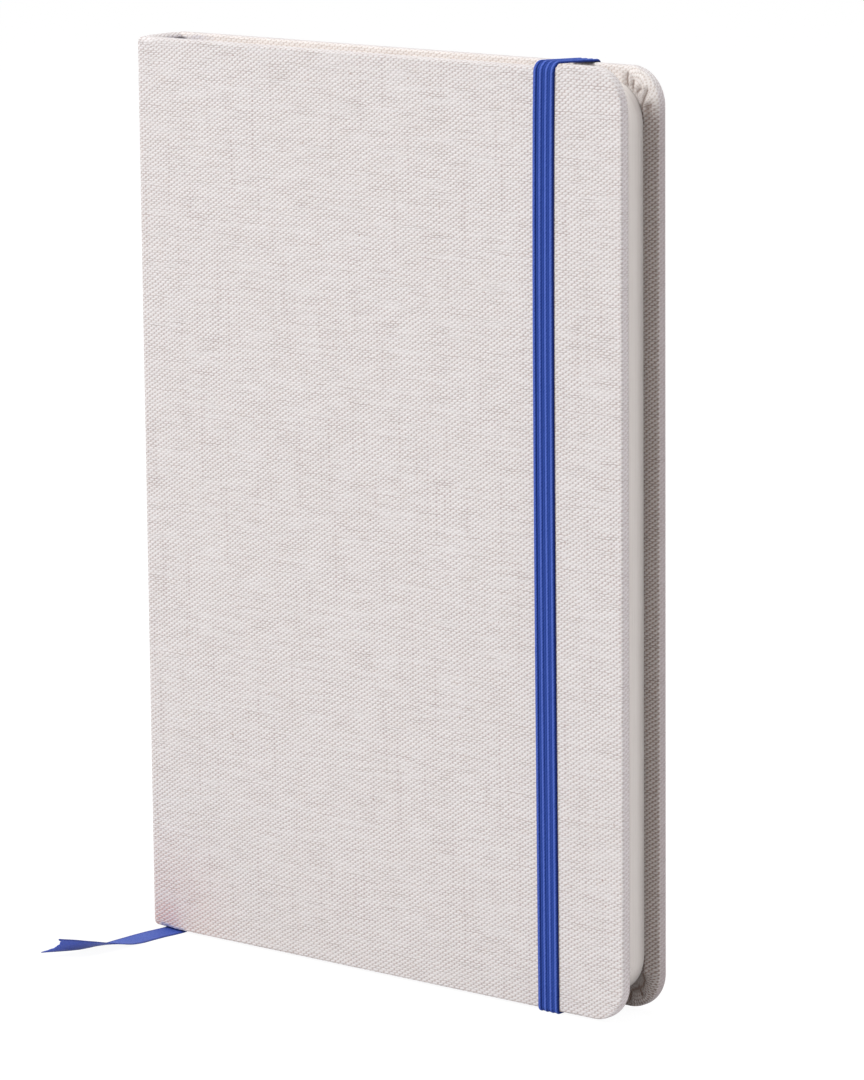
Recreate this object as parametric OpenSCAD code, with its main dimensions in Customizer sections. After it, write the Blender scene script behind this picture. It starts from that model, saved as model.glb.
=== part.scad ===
// Case-bound notebook with canvas covers, rounded fore-edge corners, a ribbed elastic
// closure and a ribbon marker, standing upright. X runs from the spine to the fore-edge,
// the front cover faces -Y, and Z is up from the surface that the notebook stands on.

/* [Covers] */
// Width of a cover, from the spine to the fore-edge
cover_w = 140; // [110:1:200]
// Height of a cover
cover_h = 210; // [160:1:300]
// Thickness of the board inside a cover
board_t = 2; // [1.5:0.1:3]
// Thickness of the canvas
cloth_t = 0.4; // [0.3:0.05:0.5]
// Radius of the two fore-edge corners of a cover
corner_r = 8.5; // [7:0.5:14]
// Radius of the two spine-side corners of a cover
spine_corner_r = 2.2; // [2.2:0.1:4]
// Radius of a cover's edges at its head, tail and fore-edge, on each face
edge_round = 0.6; // [0.6:0.05:1]
// Width of the canvas that is turned in over a board
turn_in = 12; // [10:0.5:18]

/* [Pleats at the corners] */
// Gathers in the canvas at each fore-edge corner
pleat_count = 5; // [3:1:7]
// Height of a gather above the turned-in canvas
pleat_h = 0.45; // [0.3:0.05:0.5]
// Radius of a gather where it leaves the edge
pleat_r = 0.85; // [0.6:0.05:0.95]
// Radius of a gather where the endpaper covers it
pleat_end_r = 0.6; // [0.5:0.05:0.8]

/* [Leaves] */
// Thickness of all leaves together
block_t = 9.6; // [6:0.2:20]
// Gatherings that are sewn together
gathering_count = 6; // [3:1:10]
// Radius of the leaves' fore-edge corners
leaf_corner_r = 8; // [5:0.5:14]
// Distance of the leaves from the covers' head and tail
head_inset = 3.2; // [2.5:0.1:5]
// Distance of the leaves from the covers' fore-edge
fore_inset = 4.1; // [3.5:0.1:6]
// Width and depth of the line between two gatherings
gathering_line = 0.12; // [0.05:0.01:0.2]

/* [Endpapers] */
// Thickness of an endpaper
endpaper_t = 0.15; // [0.1:0.01:0.25]
// Distance of an endpaper from the cover's edges
endpaper_inset = 4; // [3.5:0.1:6]
// Distance of an endpaper from the cover's hinge
endpaper_hinge_inset = 1.5; // [1:0.1:4]
// Room between the front endpaper and the leaves, where the ribbon lies
front_gap = 0.3; // [0.25:0.01:0.5]
// Room between the back endpaper and the leaves
back_gap = 0.1; // [0.05:0.01:0.3]

/* [Spine] */
// Thickness of the card in the spine
spine_card_t = 0.6; // [0.4:0.1:1.2]
// Radius of the corners of the spine's canvas
spine_end_r = 1; // [1:0.1:2]
// Clearance between the spine and the round edge of a cover
hinge_gap = 0.25; // [0.15:0.05:0.5]
// Room inside the hollow back
hollow = 0.3; // [0.2:0.05:1]
// Thickness of the cloth and paper lining on the back of the leaves
lining_t = 0.3; // [0.2:0.05:0.6]
// Distance of the lining from the head and tail of the leaves
lining_inset = 6; // [3:0.5:20]

/* [Elastic] */
// Width of the elastic
band_w = 5.9; // [4:0.1:9]
// Thickness of the elastic over its ribs
band_t = 0.6; // [0.5:0.05:0.8]
// Thickness of the elastic between its ribs
band_web = 0.36; // [0.2:0.02:0.4]
// Lengthwise ribs on the elastic
rib_count = 7; // [5:1:9]
// Distance of the elastic from the covers' fore-edge
band_inset = 17.8; // [14:0.1:30]
// Clearance between the elastic and the covers
band_seat = 0.05; // [0.03:0.01:0.1]
// Distance of each slit from the back cover's head or tail
slit_inset = 15; // [14:0.5:30]
// Inner radius of the elastic's bends in a slit
slit_r = 0.4; // [0.3:0.05:0.5]
// Length of the elastic that is glued inside the back cover
tab_len = 12; // [6:1:20]
// Room in the board past the end of a tab
tab_room = 1; // [0.5:0.1:2]

/* [Ribbon] */
// Width of the ribbon
ribbon_w = 6.6; // [4:0.1:8]
// Thickness of the ribbon
ribbon_t = 0.2; // [0.15:0.01:0.22]
// Distance of the ribbon from the back of the leaves
ribbon_inset = 0.6; // [0.3:0.1:6]
// Length of the ribbon that is glued on the lining
ribbon_glued = 20; // [10:1:40]

/* [Hidden] */
$fn = 64;

cover_t = board_t + 2 * cloth_t;
total_t = 2 * cover_t + 2 * endpaper_t + front_gap + block_t + back_gap;
lift = band_t + band_seat;                   // height of the covers above the surface
top = lift + cover_h;
edge_lap = 0.1;                              // how far an edge laps over its plate
cut = 0.01;                                  // how far a cut passes the face that it opens

// Plates: an endpaper's and a window's corner follows the cover's own corner
board_edge_r = edge_round - cloth_t;          // the board's own edges, under the canvas
window_corner_r = max(corner_r - turn_in, 1);
endpaper_corner_r = max(corner_r - endpaper_inset, 1);
paper_seat = 0.1;                            // clearance round the middle of an endpaper
pleat_clear = 0.05;                          // clearance between a gather and the endpaper

// Leaves and spine, from the spine's outer face inwards
spine_t = spine_card_t + 2 * cloth_t;
block_back = spine_t + hollow + ribbon_t + lining_t;
block_w = cover_w - fore_inset - block_back;
block_h = cover_h - 2 * head_inset;
block_front = -total_t / 2 + cover_t + endpaper_t + front_gap;
block_foot = lift + head_inset;
block_head = block_foot + block_h;
spine_half = total_t / 2 - cover_t - hinge_gap;
gathering_t = block_t / gathering_count;
leaf_back_r = 0.2;                           // the leaves' nearly square spine-side corners

// Elastic
band_x = cover_w - band_inset - band_w;
half = total_t / 2;
edge_r = edge_round + band_seat;             // inner radius of the bend over a cover's edge
rib_pitch = band_w / rib_count;
slit_w = band_w + 0.3;
slit_z = cover_h - slit_inset;
slit_h = slit_r + band_t + 0.1;
recess_t = band_t + 0.1;
mouth_t = recess_t + slit_r;
board_in = half - cover_t + cloth_t;         // inner face of the back board

// Ribbon
ribbon_x = block_back + ribbon_inset;
ribbon_y = block_front - front_gap / 2;
fold_over = 0.05;                            // room between the layers of the folded ribbon

// Route of the free ribbon down its middle: X and Y from where it leaves the leaves, and
// its height above the surface
TAIL = [[0, 0, 2.1], [0, -0.05, 1.1], [0, -0.25, 0.6], [0, -0.7, 0.35], [0, -1.4, 0.25],
        [0, -2.4, 0.25], [-0.25, -4.5, 0.25], [-0.8, -7.5, 0.25], [-1.15, -11.5, 0.25],
        [-1.3, -15, 0.25], [-1.55, -18.5, 0.25], [-1.8, -22, 0.25], [-2.1, -26, 0.25],
        [-2.9, -30, 0.25], [-4, -33.5, 0.25], [-5.2, -37.5, 0.25]];

// Places flat work drawn in X and Y, with its thickness in Z, upright: the flat work's Z
// then runs along -Y from the plane y
module upright(y) {
    translate([-cover_w / 2, y, lift]) rotate([90, 0, 0]) children();
}

// The front cover's frame, and its mirror image for the back cover: Z is 0 at the cover's
// inner face and cover_t at its outer face
module front_side() {
    upright(cover_t - half) children();
}

module back_side() {
    mirror([0, 1, 0]) front_side() children();
}

// Rectangle with two corners of one radius on the right and two of another on the left
module outline(w, h, right_r, left_r) {
    difference() {
        square([w, h]);
        corner_waste(w, h, right_r, 1, 1);
        corner_waste(w, 0, right_r, 1, -1);
        corner_waste(0, h, left_r, -1, 1);
        corner_waste(0, 0, left_r, -1, -1);
    }
}

// What a corner of radius r loses; sx and sy say to which side the corner points
module corner_waste(x, y, r, sx, sy) {
    translate([x, y]) scale([sx, sy]) difference() {
        translate([-r, -r]) square(r + cut);
        translate([-r, -r]) circle(r);
    }
}

// Section of a plate's edge: t high, r wide, with its two outer corners rounded by r. It
// laps over the plate by lap, so that the two are one solid.
module edge_section(t, r, lap) {
    difference() {
        translate([-lap, 0]) square([r + lap, t]);
        corner_waste(r, t, r, 1, 1);
        corner_waste(r, 0, r, 1, -1);
    }
}

// Plate with edges rounded by r; right_r and left_r are its corners' outer radii
module plate(w, h, t, r, right_r, left_r) {
    translate([r, r, 0]) linear_extrude(t)
        outline(w - 2 * r, h - 2 * r, right_r - r, left_r - r);
    translate([left_r, h - r, 0]) edge(w - left_r - right_r, t, r, 0);
    translate([w - right_r, r, 0]) edge(w - left_r - right_r, t, r, 180);
    translate([w - r, h - right_r, 0]) edge(h - 2 * right_r, t, r, -90);
    translate([r, left_r, 0]) edge(h - 2 * left_r, t, r, 90);
    translate([w - right_r, h - right_r, 0]) corner(right_r - r, t, r, 0);
    translate([left_r, h - left_r, 0]) corner(left_r - r, t, r, 90);
    translate([left_r, left_r, 0]) corner(left_r - r, t, r, 180);
    translate([w - right_r, right_r, 0]) corner(right_r - r, t, r, 270);
}

// Rounded edge of a plate, of the given length, that faces +Y before it is turned
module edge(length, t, r, turn) {
    rotate(turn) rotate([90, 0, 90]) linear_extrude(length)
        edge_section(t, r, edge_lap);
}

// Rounded corner of a plate: the edge's section carried round a quarter turn
module corner(ring_r, t, r, turn) {
    rotate(turn) rotate_extrude(angle = 90) translate([ring_r, 0])
        edge_section(t, r, min(edge_lap, ring_r));
}

// Plate whose left edge is a full round, which turns about its own middle as a hinge
module hinged_plate(w, h, t, r, right_r, left_r) {
    intersection() {
        plate(w, h, t, r, right_r, left_r);
        translate([0, h + cut, 0]) rotate([90, 0, 0])
            linear_extrude(h + 2 * cut) hinged_section(w, t);
    }
}

// Section of such a plate across its hinge edge
module hinged_section(w, t) {
    translate([t / 2, t / 2]) circle(t / 2);
    translate([t / 2, 0]) square([w - t / 2 + cut, t]);
}

// Board of a cover, in the cover's frame
module board() {
    translate([cloth_t, cloth_t, cloth_t])
        hinged_plate(cover_w - 2 * cloth_t, cover_h - 2 * cloth_t, board_t, board_edge_r,
                     corner_r - cloth_t, spine_corner_r - cloth_t);
}

// Outline of the place that the turned-in canvas leaves free, less a clearance
module window(clearance) {
    translate([turn_in + clearance, turn_in + clearance])
        outline(cover_w - 2 * (turn_in + clearance), cover_h - 2 * (turn_in + clearance),
                window_corner_r, window_corner_r);
}

// Gathers of the canvas round one fore-edge corner, fanned about the corner's centre
module pleats() {
    start = corner_r - edge_round - pleat_r;
    end = endpaper_corner_r + pleat_end_r + pleat_clear;
    for (i = [0:pleat_count - 1])
        rotate((i + 0.5) * 90 / pleat_count)
            pleat(start, end);
}

// One gather: a cone between two balls, sunk so that only pleat_h stands above the canvas
module pleat(start, end) {
    height = start - end;
    translate([end, 0, pleat_end_r - pleat_h]) sphere(pleat_end_r, $fn = 32);
    translate([start, 0, pleat_r - pleat_h]) sphere(pleat_r, $fn = 32);
    translate([end, 0, pleat_end_r - pleat_h])
        rotate([0, 90 - atan((pleat_r - pleat_end_r) / height), 0])
        cylinder(h = norm([height, pleat_r - pleat_end_r]), r1 = pleat_end_r, r2 = pleat_r,
                 $fn = 32);
}

// Canvas of a cover: a skin over the board, turned in over its edges, with gathered corners
module cover_canvas() {
    difference() {
        union() {
            hinged_plate(cover_w, cover_h, cover_t, edge_round, corner_r, spine_corner_r);
            translate([cover_w - corner_r, cover_h - corner_r, 0]) pleats();
            translate([cover_w - corner_r, corner_r, 0]) rotate(-90) pleats();
        }
        board();
        translate([0, 0, -cut]) linear_extrude(cloth_t + 2 * cut) window(0);
    }
}

// Endpaper: a leaf over the turned-in canvas, and the filling that levels the board inside it
module endpaper() {
    w = cover_w - cover_t - endpaper_hinge_inset - endpaper_inset;
    h = cover_h - 2 * endpaper_inset;
    translate([cover_t + endpaper_hinge_inset, endpaper_inset, -endpaper_t])
        linear_extrude(endpaper_t) outline(w, h, endpaper_corner_r, 1);
    linear_extrude(cloth_t) window(paper_seat);
}

module front_board() {
    color("tan") front_side() board();
}

module front_cloth() {
    color("gainsboro") front_side() cover_canvas();
}

module front_endpaper() {
    color("ivory") front_side() endpaper();
}

// One slit of the elastic, in the cover's frame, with the mouth and the recess inside it
module slit() {
    translate([band_x + band_w / 2, slit_z, 0]) {
        translate([-slit_w / 2, -slit_h, -cut]) cube([slit_w, slit_h, cover_t + 2 * cut]);
        translate([-slit_w / 2, -slit_h - slit_r, cloth_t - cut])
            cube([slit_w, slit_h + slit_r, mouth_t]);
        translate([-slit_w / 2, -slit_h - slit_r - tab_len - tab_room, cloth_t - cut])
            cube([slit_w, slit_h + slit_r + tab_len + tab_room, recess_t]);
    }
}

// Both slits, the lower one a mirror image of the upper one
module slits() {
    slit();
    translate([0, cover_h, 0]) mirror([0, 1, 0]) slit();
}

module back_board() {
    color("tan") back_side() difference() {
        board();
        slits();
    }
}

module back_cloth() {
    color("gainsboro") back_side() difference() {
        cover_canvas();
        slits();
    }
}

module back_endpaper() {
    color("ivory") back_side() endpaper();
}

// Leaves: one block with true rounded corners, and a fine line between the gatherings
module page_block() {
    color("cornsilk")
        translate([block_back - cover_w / 2, block_front, block_foot])
        mirror([0, 1, 0]) rotate([90, 0, 0]) difference() {
            linear_extrude(block_t) outline(block_w, block_h, leaf_corner_r, leaf_back_r);
            for (i = [1:gathering_count - 1])
                translate([0, 0, i * gathering_t - gathering_line / 2])
                    linear_extrude(gathering_line) gathering_mark();
        }
}

// The line between two gatherings, along the head, the fore-edge and the tail
module gathering_mark() {
    past = leaf_back_r + gathering_line;
    difference() {
        translate([-past, -past]) square([block_w + 2 * past, block_h + 2 * past]);
        translate([-2 * past, gathering_line])
            outline(block_w + 2 * past - gathering_line, block_h - 2 * gathering_line,
                    leaf_corner_r - gathering_line, leaf_back_r);
    }
}

// Cloth and paper glued over the back of the leaves
module spine_lining() {
    color("linen")
        translate([block_back - lining_t - cover_w / 2, block_front,
                   block_foot + lining_inset])
        cube([lining_t, block_t, block_h - 2 * lining_inset]);
}

// Frame of the spine: flat work with its outer face to -X, as high as the covers
module spine_side() {
    translate([-cover_w / 2, 0, lift]) rotate([90, 0, 90])
        translate([-spine_half, 0, 0]) children();
}

module spine_card() {
    translate([cloth_t, cloth_t, cloth_t])
        plate(2 * (spine_half - cloth_t), cover_h - 2 * cloth_t, spine_card_t,
              spine_card_t / 2, spine_end_r - cloth_t, spine_end_r - cloth_t);
}

module spine_strip() {
    color("tan") spine_side() spine_card();
}

// Canvas over the spine, turned in at the head and the tail
module spine_cloth() {
    color("gainsboro") spine_side() difference() {
        plate(2 * spine_half, cover_h, spine_t, spine_t / 2, spine_end_r, spine_end_r);
        spine_card();
        translate([cloth_t, turn_in, spine_t - cloth_t - cut])
            cube([2 * (spine_half - cloth_t), cover_h - 2 * turn_in, cloth_t + 2 * cut]);
    }
}

// The held part of the ribbon: glued on the lining, over the head of the leaves, folded
// square, and down the first leaf to its tail
module bookmark_ribbon() {
    x = ribbon_x - cover_w / 2;
    back_x = block_back - lining_t - ribbon_t - cover_w / 2;
    y = ribbon_y - ribbon_t / 2;
    side_y = block_front + (block_t - ribbon_w) / 2;
    color("royalblue") {
        translate([x, y, block_foot]) cube([ribbon_w, ribbon_t, block_h + fold_over]);
        translate([x, y, block_head + fold_over])
            cube([ribbon_w, side_y + ribbon_w - y, ribbon_t]);
        translate([back_x, side_y, block_head + fold_over + ribbon_t])
            cube([x + ribbon_w - back_x, ribbon_w, ribbon_t]);
        translate([back_x, side_y, block_head - ribbon_glued])
            cube([ribbon_t, ribbon_w, ribbon_glued + fold_over + 2 * ribbon_t]);
    }
}

// Middle of the free ribbon, from the tail of the leaves on
tail_start = [ribbon_x + ribbon_w / 2 - cover_w / 2, ribbon_y, block_foot];
tail_line = concat([tail_start],
                   [for (p = TAIL) [tail_start.x + p.x, tail_start.y + p.y, p.z]]);
tail_last = len(tail_line) - 1;

function unit(v) = v / norm(v);

// Direction of the ribbon at point i, straight down where it leaves the leaves
function tail_way(i) = i == 0 ? [0, 0, -1]
    : unit(tail_line[min(i + 1, tail_last)] - tail_line[i - 1]);

// Direction across the ribbon at point i, which stays level
function tail_across(i) = i == 0 ? [1, 0, 0] : unit([-tail_way(i).y, tail_way(i).x, 0]);

// The four corners of the ribbon's section at point i
function tail_ring(i) = let (across = tail_across(i) * ribbon_w / 2,
                             up = cross(tail_way(i), tail_across(i)) * ribbon_t / 2)
    [for (s = [[-1, -1], [1, -1], [1, 1], [-1, 1]]) tail_line[i] + s.x * across + s.y * up];

// Wall k between points i and i + 1, as two triangles that are split alike on opposite walls
function tail_wall(i, k, sides) = let (a = i * sides + k, b = i * sides + (k + 1) % sides)
    k < sides / 2 ? [[a, b, b + sides], [a, b + sides, a + sides]]
                  : [[a, b, a + sides], [b, b + sides, a + sides]];

// The free end of the ribbon, lying flat on the surface
module ribbon_tail() {
    sides = 4;
    points = [for (i = [0:tail_last]) each tail_ring(i)];
    walls = [for (i = [0:tail_last - 1]) for (k = [0:sides - 1]) each tail_wall(i, k, sides)];
    start = [for (k = [sides - 1:-1:0]) k];
    end = [for (k = [0:sides - 1]) tail_last * sides + k];
    color("royalblue") polyhedron(points, concat([start, end], walls));
}

// Section of the elastic: thickness in X with the ribs on the outside, and width in Y
module band_section() {
    square([band_web, band_w]);
    intersection() {
        square([band_t, band_w]);
        for (i = [0:rib_count - 1])
            translate([band_t - rib_pitch / 2, (i + 0.5) * rib_pitch])
                circle(rib_pitch / 2, $fn = 32);
    }
}

// Straight elastic along +Y from the origin, its flat face in the plane X = 0
module band_run(length) {
    translate([0, length, 0]) rotate([90, 0, 0]) linear_extrude(length) band_section();
}

// A quarter turn of the elastic about the origin, with the flat face inside
module band_bend(r) {
    rotate_extrude(angle = 90) translate([r, 0]) band_section();
}

// A quarter turn of the elastic about the origin, with the ribs inside
module band_bend_ribs_in(r) {
    rotate_extrude(angle = 90) translate([r + band_t, 0]) mirror([1, 0]) band_section();
}

// The upper end of the elastic, from the front cover's edge to the glued end. Here X is
// the notebook's Y and Y is its height
module band_end() {
    edge_y = top - edge_round;
    edge_x = half - edge_round;
    slit_top = lift + slit_z;
    turn_x = board_in + band_t + slit_r + 0.05;
    turn_y = slit_top - 2 * slit_r - band_t;
    translate([-edge_x, edge_y]) rotate(90) band_bend(edge_r);
    translate([edge_x, top + band_seat]) rotate(90) band_run(2 * edge_x);
    translate([edge_x, edge_y]) band_bend(edge_r);
    translate([half + band_seat, slit_top]) band_run(edge_y - slit_top);
    translate([half + band_seat - slit_r, slit_top]) rotate(-90) band_bend(slit_r);
    translate([turn_x, slit_top - slit_r]) rotate(-90)
        band_run(half + band_seat - slit_r - turn_x);
    translate([turn_x, turn_y]) rotate(90) band_bend_ribs_in(slit_r);
    translate([turn_x - slit_r - band_t, turn_y - tab_len]) band_run(tab_len);
}

// The elastic: down the front cover, and at each end round to the back cover's slit
module elastic_band() {
    color("royalblue")
        translate([band_x - cover_w / 2, 0, 0]) rotate([90, 0, 90]) {
            translate([-half - band_seat, top - edge_round]) rotate(180)
                band_run(cover_h - 2 * edge_round);
            band_end();
            translate([0, lift + top]) mirror([0, 1, 0]) band_end();
        }
}

page_block();
spine_lining();
spine_strip();
spine_cloth();
bookmark_ribbon();
ribbon_tail();
front_board();
front_cloth();
front_endpaper();
back_board();
back_cloth();
back_endpaper();
elastic_band();
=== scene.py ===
"""Notebook with canvas covers, a ribbed elastic and a ribbon, dressed over the CAD frame.

All shapes are written in millimetres in the frame's own axes: X from the spine to the
fore-edge, Y from the front cover to the back cover, Z up from the floor.
"""
import math

import bmesh
import bpy
import numpy as np
from mathutils import Matrix, Vector


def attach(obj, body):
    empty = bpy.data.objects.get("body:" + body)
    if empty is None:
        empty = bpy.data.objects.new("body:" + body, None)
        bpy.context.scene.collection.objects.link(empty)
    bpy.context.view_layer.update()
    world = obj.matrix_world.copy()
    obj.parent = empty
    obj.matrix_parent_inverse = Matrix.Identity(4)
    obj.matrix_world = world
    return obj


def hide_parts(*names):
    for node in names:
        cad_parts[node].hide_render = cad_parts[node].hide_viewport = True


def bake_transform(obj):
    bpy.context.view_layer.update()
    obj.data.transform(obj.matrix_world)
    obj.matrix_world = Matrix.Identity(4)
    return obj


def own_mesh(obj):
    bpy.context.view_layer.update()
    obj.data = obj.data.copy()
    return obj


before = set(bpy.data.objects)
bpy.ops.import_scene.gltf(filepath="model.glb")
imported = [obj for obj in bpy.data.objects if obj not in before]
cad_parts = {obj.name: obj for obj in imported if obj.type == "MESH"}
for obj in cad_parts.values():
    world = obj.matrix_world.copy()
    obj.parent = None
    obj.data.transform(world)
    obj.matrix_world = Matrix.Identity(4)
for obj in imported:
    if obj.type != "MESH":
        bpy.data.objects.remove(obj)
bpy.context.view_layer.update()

MM = 0.001
SEED = 11

# Sizes of the CAD model in millimetres. Two are the scene's own: SPINE_CORNER_R, which is
# 2.2 there, and LEAF_R, which is 8.
LEFT, RIGHT = -70.0, 70.0
FOOT, HEAD = 0.65, 210.65
OUTER, INNER = 7.95, 5.15
COVER_T = OUTER - INNER
EDGE_R = COVER_T / 2
EDGE_ROUND = 0.6
CORNER_R, SPINE_CORNER_R = 8.5, 1.4
HINGE_X, HINGE_Y = LEFT + EDGE_R, INNER + EDGE_R
BLOCK_LEFT, BLOCK_RIGHT = -67.8, 65.9
BLOCK_FRONT, BLOCK_BACK = -4.7, 4.9
BLOCK_FOOT, BLOCK_HEAD = 3.85, 207.45
LEAF_R = 9.0
BAND_MID, BAND_W, BAND_T, BAND_WEB = 49.25, 5.9, 0.6, 0.36
BAND_SEAT = 0.05
SLIT_Z = 195.65
RIBBON_W, RIBBON_T = 6.6, 0.2
PAPER_T = 0.15
TAIL_START = (-63.9, -4.85, 3.85)


def smooth(t):
    t = np.clip(t, 0.0, 1.0)
    return t * t * (3 - 2 * t)


# Camera

def make_camera():
    azimuth, elevation, roll = (math.radians(a) for a in (39.54, 11.0, -0.516))
    # The focal length is in pixels of a picture of this height
    focal_px, picture_px, sensor_mm = 5399.8, 1080, 36
    distance = 1201.6
    target = np.array([16.64, -7.95, 103.32])
    right = np.array([math.cos(azimuth), math.sin(azimuth), 0])
    level = np.array([-math.sin(azimuth), math.cos(azimuth), 0])
    up_z = np.array([0, 0, 1.0])
    ahead = level * math.cos(elevation) - up_z * math.sin(elevation)
    up = level * math.sin(elevation) + up_z * math.cos(elevation)
    across = right * math.cos(roll) + up * math.sin(roll)
    upright = -right * math.sin(roll) + up * math.cos(roll)
    eye = target - distance * ahead
    data = bpy.data.cameras.new("camera")
    data.lens = focal_px * sensor_mm / picture_px
    data.clip_start, data.clip_end = 0.05, 20
    camera = bpy.data.objects.new("camera", data)
    bpy.context.scene.collection.objects.link(camera)
    turn = Matrix([Vector(across), Vector(upright), Vector(-ahead)]).transposed()
    camera.matrix_world = Matrix.Translation(Vector(eye * MM)) @ turn.to_4x4()
    bpy.context.scene.camera = camera


# Meshes

def add_mesh(name, points, faces, values=None, sharp=None):
    """A mesh object from points in mm, with values = {attribute: one vector a point}."""
    mesh = bpy.data.meshes.new(name)
    mesh.from_pydata((np.asarray(points, float) * MM).tolist(), [], faces)
    for key, rows in (values or {}).items():
        layer = mesh.attributes.new(key, "FLOAT_VECTOR", "POINT")
        layer.data.foreach_set("vector", np.asarray(rows, np.float32).ravel())
    edit = bmesh.new()
    edit.from_mesh(mesh)
    bmesh.ops.remove_doubles(edit, verts=edit.verts, dist=2e-7)
    bmesh.ops.recalc_face_normals(edit, faces=edit.faces)
    edit.to_mesh(mesh)
    edit.free()
    mesh.polygons.foreach_set("use_smooth", [True] * len(mesh.polygons))
    if sharp:
        mesh.set_sharp_from_angle(angle=math.radians(sharp))
    piece = bpy.data.objects.new(name, mesh)
    bpy.context.scene.collection.objects.link(piece)
    return piece


def grid_faces(rows, columns, first=0, closed=False):
    """Quads of a grid of points in row order; closed joins the last column to the first."""
    faces = []
    for r in range(rows - 1):
        for c in range(columns if closed else columns - 1):
            d = (c + 1) % columns
            a = first + r * columns
            faces.append((a + c, a + d, a + columns + d, a + columns + c))
    return faces


def shell(name, grid, thickness, values=None, sharp=None):
    """A sheet through a grid of points, given a thickness on its inner side."""
    rows, columns = grid.shape[:2]
    normal = np.cross(np.gradient(grid, axis=1), np.gradient(grid, axis=0))
    normal /= np.linalg.norm(normal, axis=2, keepdims=True) + 1e-12
    inner = grid - normal * thickness
    count = rows * columns
    points = np.concatenate([grid.reshape(-1, 3), inner.reshape(-1, 3)])
    faces = grid_faces(rows, columns)
    faces += [tuple(reversed([i + count for i in f])) for f in grid_faces(rows, columns)]
    rim = list(range(columns))
    rim += [r * columns + columns - 1 for r in range(1, rows)]
    rim += [(rows - 1) * columns + c for c in range(columns - 2, -1, -1)]
    rim += [r * columns for r in range(rows - 2, 0, -1)]
    for a, b in zip(rim, rim[1:] + rim[:1]):
        faces.append((b, a, a + count, b + count))
    doubled = {k: np.concatenate([v.reshape(-1, 3)] * 2) for k, v in (values or {}).items()}
    return add_mesh(name, points, faces, doubled, sharp)


def ring(box, radii, inset, fractions, steps):
    """Points and outward normals round a rectangle with rounded corners, anticlockwise
    from its lower left corner. box is left, foot, right, head; radii and steps are for
    the left and the right corners; fractions are those of the level and upright sides."""
    left, foot, right, head = box
    level, upright = fractions
    corners = [(right, foot, 1, 270), (right, head, 1, 0), (left, head, 0, 90), (left, foot, 0, 180)]
    arcs = []
    for x, z, side, start in corners:
        reach = max(radii[side], inset)
        radius = reach - inset
        centre = np.array([x - reach if side else x + reach,
                           z + reach if z == foot else z - reach])
        angle = np.radians(start + np.linspace(0, 90, steps[side] + 1))
        normal = np.stack([np.cos(angle), np.sin(angle)], 1)
        arcs.append((centre + normal * radius, normal))
    points, normals = [], []
    for k, (places, ways) in enumerate(arcs):
        before = arcs[k - 1][0][-1]
        share = (level if k % 2 == 0 else upright)[1:-1, None]
        if k >= 2:
            share = 1 - share[::-1]
        run = before + (places[0] - before) * share
        points += [run, places]
        normals += [np.repeat(ways[:1], len(run), 0), ways]
    return np.concatenate(points), np.concatenate(normals)


# Covers

# The slits for the elastic in the back cover
SLIT_HALF_W, SLIT_H = 3.1, 1.1
# Inset at which the rings along the edge meet the plain middle of a face
GRID_INSET = 11.0
CORNER_STEPS = 72
# The middle of the inner face lies this much lower, under the endpaper
UNDER_PAPER = 0.03
# The soft edge reaches inwards by SOFT_EDGE, and a higher SQUARENESS makes it boxier
SOFT_EDGE, SQUARENESS = 0.72, 3.4
# From here to the spine the edge turns into the full round of the hinge
ROUND_FROM, ROUND_TO = LEFT + 7.0, LEFT + 3.0
# Insets of the lines on the turned-in canvas
TURNED = (1.0, 1.25, 1.5, 1.75, 2.0, 2.25, 2.5, 2.75, 3.0, 3.25, 3.5, 3.75, 4.0, 4.3, 4.7, 5.3, 6.5, 8.5,
          GRID_INSET)
# Height of the gathered canvas above the inner face
GATHER_H = 0.7
# How far the front canvas stands proud of its head edge, and from which X on
PROUD, PROUD_FROM = 0.85, 50.5

# Folds of the gathered canvas at a fore-edge corner: lines through an angle from the level
# in degrees and a radius about the corner's centre
HEAD_FOLDS = ([(86, 4.4), (88, 5.6), (87, 7.0)], [(2, 4.0), (8, 4.3), (19, 5.0), (32, 6.6)],
              [(66, 4.0), (70, 5.6)], [(47, 4.0), (44, 5.3)], [(1, 5.4), (3, 6.6)])
TAIL_FOLDS = ([(5, 4.0), (20, 4.9), (36, 5.1), (56, 4.8), (75, 4.6)], [(48, 4.4), (52, 6.4)],
              [(80, 5.0), (86, 6.8)])


def cover_lines():
    """Shares along the level and the upright side at which the cover's grid has lines."""
    slit = [BAND_MID - SLIT_HALF_W, BAND_MID + SLIT_HALF_W]
    x0, x1 = LEFT + GRID_INSET, RIGHT - GRID_INSET
    z0, z1 = FOOT + GRID_INSET, HEAD - GRID_INSET
    xs = np.unique(np.concatenate([np.linspace(x0, slit[0], 42), np.linspace(*slit, 5),
                                   np.linspace(slit[1], x1, 5)]))
    low, high = FOOT + HEAD - SLIT_Z, SLIT_Z
    zs = np.unique(np.concatenate([[z0], np.linspace(low, low + SLIT_H, 3),
                                   np.linspace(low + SLIT_H, high - SLIT_H, 80),
                                   np.linspace(high - SLIT_H, high, 3), [z1]]))
    return (xs - x0) / (x1 - x0), (zs - z0) / (z1 - z0), xs, zs


def edge_profile():
    """The canvas round a cover's edge, from its outer to its inner face: inset and depth of
    the soft square edge and of the full round at the hinge, and the way along the former."""
    rows, way, last = [], 0.0, None
    for angle in np.radians(np.linspace(90, -90, 23)):
        c, s = max(math.cos(angle), 0.0), math.sin(angle)
        inset = SOFT_EDGE * (1 - c ** (2 / SQUARENESS))
        depth = EDGE_R * (1 + math.copysign(abs(s) ** (2 / SQUARENESS), s))
        way += math.dist(last, (inset, depth)) if last else 0.0
        last = (inset, depth)
        rows.append((inset, depth, EDGE_R * (1 - c), EDGE_R * (1 + s), way))
    return rows


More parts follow.
